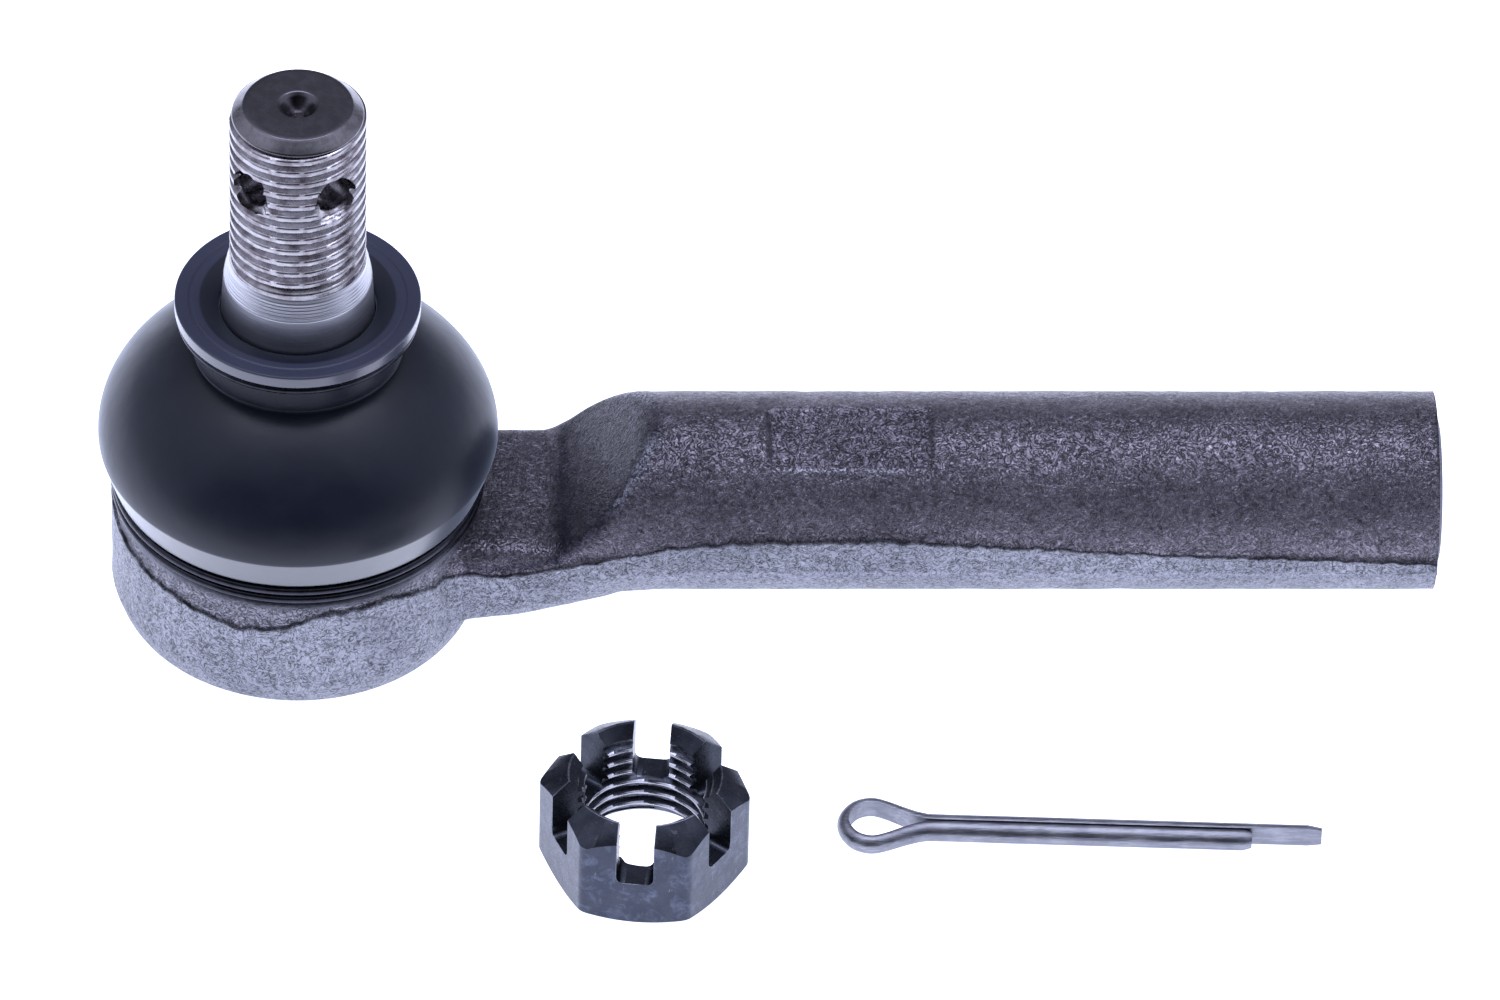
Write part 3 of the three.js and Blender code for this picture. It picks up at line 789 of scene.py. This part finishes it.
def ragged_drill(number, degrees):
    """A cross drill that tore the thread's crests open on the side of its mouth away from the other hole."""
    reach, columns, rows = 8.5, 64, 81
    along = np.linspace(-reach, reach, rows)
    angle = np.linspace(0, TURN, columns, endpoint=False)
    s, a = np.meshgrid(along, angle, indexing="ij")
    mouth = smooth_step(np.abs(s), 5.7, 6.5)
    torn_side = (180 if number == 0 else 0) + 25
    lobe = smooth_step(np.cos(a - math.radians(torn_side) * np.sign(s)), -0.45, 0.9)
    points = np.stack([s, 2 * np.cos(a), 2 * np.sin(a)], -1)
    ragged = rough(points, 1.0, 0.8, 5 + number)
    r = HOLE_RADIUS + mouth * (0.12 + lobe * (0.75 + ragged))
    r = np.maximum(r, HOLE_RADIUS * 0.97)
    turn = Matrix.Rotation(math.radians(degrees), 3, "Z")
    points = np.stack([s, r * np.cos(a), r * np.sin(a)], -1) @ np.array(turn).T
    points[..., 2] += HOLE_Z
    return object_from(f"drill_{number}", points, grid_faces(rows, columns) + end_faces(rows, columns))


# ---- Boot and its rings ----
def boot_profile():
    """Closed outline of the boot: skirt, dome, neck and flange outside, then the inside back to the foot."""
    rise = BOOT_SHOULDER_Z - BOOT_WIDEST_Z
    spread = BOOT_WIDEST - BOOT_SHOULDER
    dome = [(BOOT_SHOULDER + spread * math.cos(t) ** 1.56 - 0.22 * math.sin(2 * t) ** 2,
             BOOT_WIDEST_Z + rise * math.sin(t))
            for t in np.linspace(0, math.pi / 2, 40)]
    inner = [(9.5 + 9.45 * math.cos(t) ** 1.56, BOOT_WIDEST_Z + 10.3 * math.sin(t))
             for t in np.linspace(math.pi / 2, 0, 24)]
    skirt = rounded([(16.7, 15.75), (17.9, 15.75, 0.25), (18.1, 16.2, 0.2), (18.1, 17.9, 0.25),
                     (19.3, 18.15, 0.35), (19.75, 19.4, 0.6), (20.62, 22.05, 0.18), (20.72, 22.4, 0.2),
                     (BOOT_WIDEST, BOOT_WIDEST_Z)])
    flange = rounded([(BOOT_SHOULDER, BOOT_SHOULDER_Z), (11.0, 35.4, 0.5), (11.0, 39.2, 0.3),
                      (12.4, 39.45, 0.2), (12.72, 39.6, 0.12), (12.74, BOOT_TOP - 0.12, 0.12),
                      (12.55, BOOT_TOP, 0.1), (11.35, BOOT_TOP - 0.1, 0.12), (11.2, BOOT_TOP - 0.24, 0.1),
                      (11.0, BOOT_TOP - 0.13, 0.1), (9.7, BOOT_TOP - 0.3, 0.6), (8.12, BOOT_TOP - 0.9, 0.3),
                      (8.12, 39.0, 0.4), (8.9, 37.4, 0.5), (9.6, 34.6, 0.5), (9.5, 33.3)])
    foot = rounded([(18.95, BOOT_WIDEST_Z), (18.0, 19.6, 0.6), (17.3, 18.4, 0.2), (16.7, 17.9, 0.2),
                    (16.7, 15.75)])
    return np.concatenate([resampled(skirt, 0.5)[:-1], dome[:-1], resampled(flange, 0.5)[:-1], inner[:-1],
                           resampled(foot, 0.6)[:-1]])


def dust_boot():
    """The moulded boot, very slightly three-lobed as rubber settles."""
    profile = boot_profile()

    def shape(radius, height, angle):
        on_dome = smooth_step(height, 18.5, 23) * (1 - smooth_step(height, 33, 36))
        return radius - 0.06 + 0.06 * np.sin(3 * angle + 1.0) * on_dome, height

    points, faces = revolved(profile, BOOT_COLUMNS, closed=True, shape=shape)
    boot = object_from("dust_boot_moulding", points, faces, weld=False)
    radius, height = profile.T
    flank = (height > 18.2) & (height < 22.2) & (radius > 19.2)
    rim = (height > 39.5) & (height < BOOT_TOP - 0.08) & (radius > 12.3)
    # Painted light: where the flange's top and rim are coloured lighter.
    painted_lit_flange_top = (height > 39.3) & (radius > 10.2)
    for name, where in (("gloss", flank | rim), ("flange", painted_lit_flange_top)):
        add_mask(boot, name, np.repeat(where[:, None] * 1.0, BOOT_COLUMNS, 1))
    return boot


def clamp_ring():
    """Just under two turns of wire, with a step from one turn to the next at the back."""
    degrees = np.linspace(125, 795, 420)
    lift = 1.1 * smooth_step(degrees, 440, 480)
    angle = np.radians(degrees)
    path = np.stack([18.9 * np.cos(angle), 18.9 * np.sin(angle), 16.25 + lift], -1)
    t = np.linspace(0, TURN, 14, endpoint=False)
    section = np.stack([0.47 * np.cos(t), 0.47 * np.sin(t)], -1)
    return object_from("boot_clamp_wire", *swept(path, section))


def neck_ring():
    """The ring of wire under the boot's flange."""
    t = np.linspace(0, TURN, 18, endpoint=False)
    profile = np.stack([11.95 + 0.53 * np.cos(t), 38.85 + 0.46 * np.sin(t)], -1)
    points, faces = revolved(profile, 200, closed=True)
    return object_from("boot_neck_wire", points, faces)


# ---- End cap ----
def end_cap():
    """The pressed disc that closes the socket, dished outwards in its middle."""
    profile = rounded([(0.0, 0.0), (7.8, 0.0, 0.8), (9.4, 1.3, 0.8), (15.1, 1.3, 0.2), (15.2, 2.5, 0.2),
                       (9.0, 2.5, 0.8), (7.4, 1.2, 0.8), (0.0, 1.2)])
    points, faces = revolved(resampled(profile, 0.7), 160)
    return object_from("end_cap_pressing", points, faces)


# ---- Castle nut ----
def prism(name, outline, low, high):
    """An outline of (x, y) points as a solid from one height to another."""
    count = len(outline)
    points = [(x, y, z) for z in (low, high) for x, y in outline]
    faces = [[k, (k + 1) % count, count + (k + 1) % count, count + k] for k in range(count)]
    faces += [list(range(count))[::-1], list(range(count, 2 * count))]
    return object_from(name, points, faces, smooth=False)


def face_width(mesh, face):
    """A face's area over its longest edge."""
    corners = [mesh.vertices[index].co for index in face.vertices]
    return face.area / max((a - b).length for a, b in zip(corners, corners[1:] + corners[:1]))


def nut_blank():
    """A hexagon with rounded corners, turned to cones above and below."""
    rounding = 1.2
    reach = (NUT_HALF_WIDTH - rounding) / math.cos(math.pi / 6)
    outline = []
    for k in range(6):
        middle = k * 60
        for degrees in np.linspace(middle - 30, middle + 30, 7):
            angle = math.radians(degrees)
            outline.append((reach * math.cos(math.radians(middle)) + rounding * math.cos(angle),
                            reach * math.sin(math.radians(middle)) + rounding * math.sin(angle)))
    nut = prism("castle_nut_body", outline, 0, NUT_HEIGHT)
    envelope = rounded([(0, 0), (9.45, 0), (11.2, 1.0), (11.2, 9.3), (7.9, NUT_HEIGHT), (0, NUT_HEIGHT)])
    combine(nut, object_from("envelope", *revolved(envelope, 120)), "INTERSECT")
    return nut


def slot_cutter(degrees):
    """A bar right across the nut that cuts two opposite slots, with rounded floors."""
    half, floor, above = NUT_SLOT_HALF_WIDTH, NUT_SLOT_FLOOR, NUT_HEIGHT + 1.5
    slot = rounded([(-half, above), (-half, floor, 0.9), (half, floor, 0.9), (half, above)], 6)
    points = [(x, y, z) for x in (-13, 13) for y, z in slot]
    count = len(slot)
    faces = [[i, (i + 1) % count, count + (i + 1) % count, count + i] for i in range(count)]
    faces += [list(range(count))[::-1], list(range(count, 2 * count))]
    bar = object_from("slot", points, faces, smooth=False)
    bar.data.transform(Matrix.Rotation(math.radians(degrees), 4, "Z"))
    return bar


def nut_tap():
    """The nut's bore with its thread and its countersinks."""
    z = np.arange(-0.6, NUT_HEIGHT + 0.6, PITCH / 12)
    angle = np.linspace(0, TURN, 120, endpoint=False)
    height, turn = np.meshgrid(z, angle, indexing="ij")
    radius = NUT_BORE_RADIUS + 0.72 * thread_form(height / PITCH - turn / TURN)
    countersink = np.maximum(7.45 - height * 0.9, 7.8 - (NUT_HEIGHT - height) * 1.0)
    radius = np.maximum(radius, np.clip(countersink, 0, 8.3))
    points = np.stack([radius * np.cos(turn), radius * np.sin(turn), height], -1)
    return object_from("tap", points, grid_faces(len(z), len(angle)) + end_faces(len(z), len(angle)))


def castle_nut():
    """The slotted nut, with its edges rubbed round."""
    nut = nut_blank()
    for degrees in (30, 90, 150):
        combine(nut, slot_cutter(degrees), "DIFFERENCE")
    bevel = nut.modifiers.new("edges", "BEVEL")
    bevel.width = 0.16 * MM
    bevel.segments = 2
    bevel.angle_limit = math.radians(35)
    apply_modifiers(nut)
    combine(nut, nut_tap(), "DIFFERENCE", tangled=True)
    smooth_by_angle(nut, 40)
    centres = np.array([face.center for face in nut.data.polygons]) / MM
    upright = np.array([abs(face.normal.z) < 0.25 for face in nut.data.polygons])
    narrow = np.array([face_width(nut.data, face) < 0.15 * MM for face in nut.data.polygons])
    radii = np.hypot(centres[:, 0], centres[:, 1])
    add_mask(nut, "thread", (radii < 6.33) & (centres[:, 2] > 0.2), "FACE")
    add_mask(nut, "flat", upright & (radii > 9.0), "FACE")
    add_mask(nut, "edge", narrow & (radii > 6.7), "FACE")
    keep_flat_faces_flat(nut, 1.5)
    place(nut, NUT_CENTRE.x, NUT_CENTRE.y, NUT_TURN)
    return nut


# ---- Split pin ----
def catmull_rom(knots, steps):
    """A smooth curve through the knots."""
    knots = np.array(knots, float)
    padded = np.concatenate([[2 * knots[0] - knots[1]], knots, [2 * knots[-1] - knots[-2]]])
    out = []
    for i in range(1, len(padded) - 2):
        a, b, c, d = padded[i - 1:i + 3]
        for t in np.linspace(0, 1, steps, endpoint=False):
            out.append(0.5 * (2 * b + (c - a) * t + (2 * a - 5 * b + 4 * c - d) * t ** 2
                              + (3 * b - a - 3 * c + d) * t ** 3))
    out.append(knots[-1])
    return np.array(out)


def cotter_pin():
    """Half-round wire folded back round an eye, thinner there. The path is the wire's flat inner face."""
    gap = 0.14
    half_eye = [(10.4, gap), (8.5, 0.42), (6.8, 1.15), (5.0, 2.08), (3.6, 2.52), (2.3, 2.12), (1.45, 1.05)]
    legs = [(30, gap), (18, gap)] + half_eye
    front = [(x, -y) for x, y in [(PIN_SHORT_LEG, gap)] + legs]
    back = ([(PIN_LENGTH, gap)] + legs)[::-1]
    flat = catmull_rom(front + [(1.2, 0.0)] + back, 14)
    path = np.column_stack([flat, np.full(len(flat), PIN_HALF_HEIGHT)])
    t = np.linspace(0.12, math.pi - 0.12, 17)
    section = np.stack([1.42 * np.sin(t) ** 0.9, (PIN_HALF_HEIGHT - 0.02) * np.cos(t)], -1)
    section = np.concatenate([[(0.0, PIN_HALF_HEIGHT - 0.09)], section, [(0.0, 0.09 - PIN_HALF_HEIGHT)]])
    leg = smooth_step(flat[:, 0], 4.5, 11)
    along = np.concatenate([[0], np.cumsum(np.linalg.norm(np.diff(flat, axis=0), axis=1))])
    from_end = np.minimum(along, along[-1] - along)
    blunt = 0.8 + 0.2 * smooth_step(from_end, 0, 0.7)
    stretch = np.stack([(0.82 + 0.18 * leg) * blunt, (0.94 + 0.06 * leg) * blunt], -1)
    pin = object_from("cotter_pin_wire", *swept(path, section, stretch))
    smooth_by_angle(pin, 45)
    place(pin, *PIN_START, PIN_TURN)
    return pin


# ---- Stage, lights and camera ----
def set_range(node, low, high, from_value, to_value):
    for name, value in (("From Min", low), ("From Max", high), ("To Min", from_value), ("To Max", to_value)):
        node.inputs[name].default_value = value


def light_table():
    """A pale floor that glows under and behind the part, and only there."""
    floor = object_from("floor", [(-4000, -4000, 0), (4000, -4000, 0), (4000, 4000, 0), (-4000, 4000, 0)],
                        [(0, 1, 2, 3)], smooth=False, weld=False)
    floor.location.z = -0.02 * MM
    s = Shader("floor_paper")
    s.set(Base_Color=s.ramp(s.noise(400, 2), (0.3, 0.80), (0.7, 0.82)), Roughness=0.8)
    across = s.node("ShaderNodeSeparateXYZ", Vector=s.place).outputs["Y"]
    lit = s.node("ShaderNodeMapRange", {"interpolation_type": "SMOOTHSTEP"}, Value=across)
    set_range(lit, -0.098, -0.058, 0.05, 1.5)
    s.set(Emission_Color=(0.76, 0.80, 1.0, 1), Emission_Strength=lit.outputs["Result"])
    floor.data.materials.append(s.material)


def tent():
    """Soft light all round: bright overhead, softer at the sides, dim behind, dark from the camera's side."""
    world = bpy.data.worlds.new("studio")
    world.use_nodes = True
    tree = world.node_tree
    direction = tree.nodes.new("ShaderNodeTexCoord").outputs["Generated"]
    split = tree.nodes.new("ShaderNodeSeparateXYZ")
    tree.links.new(direction, split.inputs[0])

    def level(axis, *limits):
        made = tree.nodes.new("ShaderNodeMapRange")
        made.interpolation_type = "SMOOTHSTEP"
        tree.links.new(split.outputs[axis], made.inputs["Value"])
        set_range(made, *limits)
        return made.outputs["Result"]

    strength = level("Z", 0.5, 0.97, 0.85, 1.7)
    behind = level("Y", 0.3, 0.7, 1.0, 0.4)
    camera_side = level("Y", -0.75, -0.15, 0.03, 1.0)
    for factor in (behind, camera_side):
        product = tree.nodes.new("ShaderNodeMath")
        product.operation = "MULTIPLY"
        tree.links.new(strength, product.inputs[0])
        tree.links.new(factor, product.inputs[1])
        strength = product.outputs[0]
    background = tree.nodes["Background"]
    background.inputs["Color"].default_value = (0.76, 0.79, 1.0, 1)
    tree.links.new(strength, background.inputs["Strength"])
    bpy.context.scene.world = world
    bpy.context.scene.view_settings.view_transform = "Standard"


def area_light(name, position, target, width, height, watts):
    light = bpy.data.lights.new(name, "AREA")
    light.shape = "RECTANGLE"
    light.size, light.size_y = width * MM, height * MM
    light.energy = watts
    light.color = (0.76, 0.79, 1.0)
    obj = bpy.data.objects.new(name, light)
    obj.location = Vector(position) * MM
    obj.rotation_euler = (Vector(target) - Vector(position)).to_track_quat("-Z", "Y").to_euler()
    bpy.context.scene.collection.objects.link(obj)


def camera():
    """A long lens 42 degrees above the bench, rolled so that the shank lies level in the frame."""
    azimuth, elevation = math.radians(-2.4), math.radians(42)
    target, distance, roll = Vector((47.0, 0.0, 12.9)) * MM, 1559 * MM, math.radians(1.606)
    back = Vector((math.sin(azimuth) * math.cos(elevation), -math.cos(azimuth) * math.cos(elevation),
                   math.sin(elevation)))
    right = Vector((math.cos(azimuth), math.sin(azimuth), 0))
    up = back.cross(right)
    across = right * math.cos(roll) + up * math.sin(roll)
    upward = up * math.cos(roll) - right * math.sin(roll)
    data = bpy.data.cameras.new("camera")
    data.sensor_width = 36
    data.lens = 360
    data.clip_end = 20
    obj = bpy.data.objects.new("camera", data)
    rotation = Matrix((across, upward, back)).transposed().to_4x4()
    obj.matrix_world = Matrix.Translation(target + back * distance) @ rotation
    bpy.context.scene.collection.objects.link(obj)
    bpy.context.scene.camera = obj


# ---- The assembly ----
camera()
light_table()
tent()
area_light("overhead", (50, 20, 700), (50, 0, 0), 700, 160, 2)
forged = forged_steel()
dark = dark_steel()
dress(housing_head(), forged, "forged_steel", "housing")
dress(housing_shank(), forged, "forged_steel", "housing", "housing")
dress(end_cap(), machined_steel("plated_steel", (0.24, 0.24, 0.27), (0.15, 0.14, 0.16), 0.3), "plated_steel",
      "housing", "end_cap")
dress(clamp_ring(), dark, "spring_steel", "housing", "boot_clamp_ring")
dress(neck_ring(), dark, "spring_steel", "boot_neck", "boot_neck_ring")
dress(ball_stud(), machined_steel(), "ground_steel", "stud", "ball_stud")
dress(castle_nut(), phosphated_steel(), "phosphated_steel", "castle_nut", "castle_nut")
dress(cotter_pin(), zinc_plate(), "zinc_plate", "cotter_pin", "cotter_pin")

boot = dust_boot()
boot.data.materials.append(boot_rubber())
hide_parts("dust_boot")
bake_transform(boot)

plastic = white_plastic()
hidden = (("upper_bearing_seat", plastic), ("lower_bearing_seat", plastic), ("preload_spring", dark))
for node, material in hidden:
    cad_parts[node].data.materials.clear()
    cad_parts[node].data.materials.append(material)
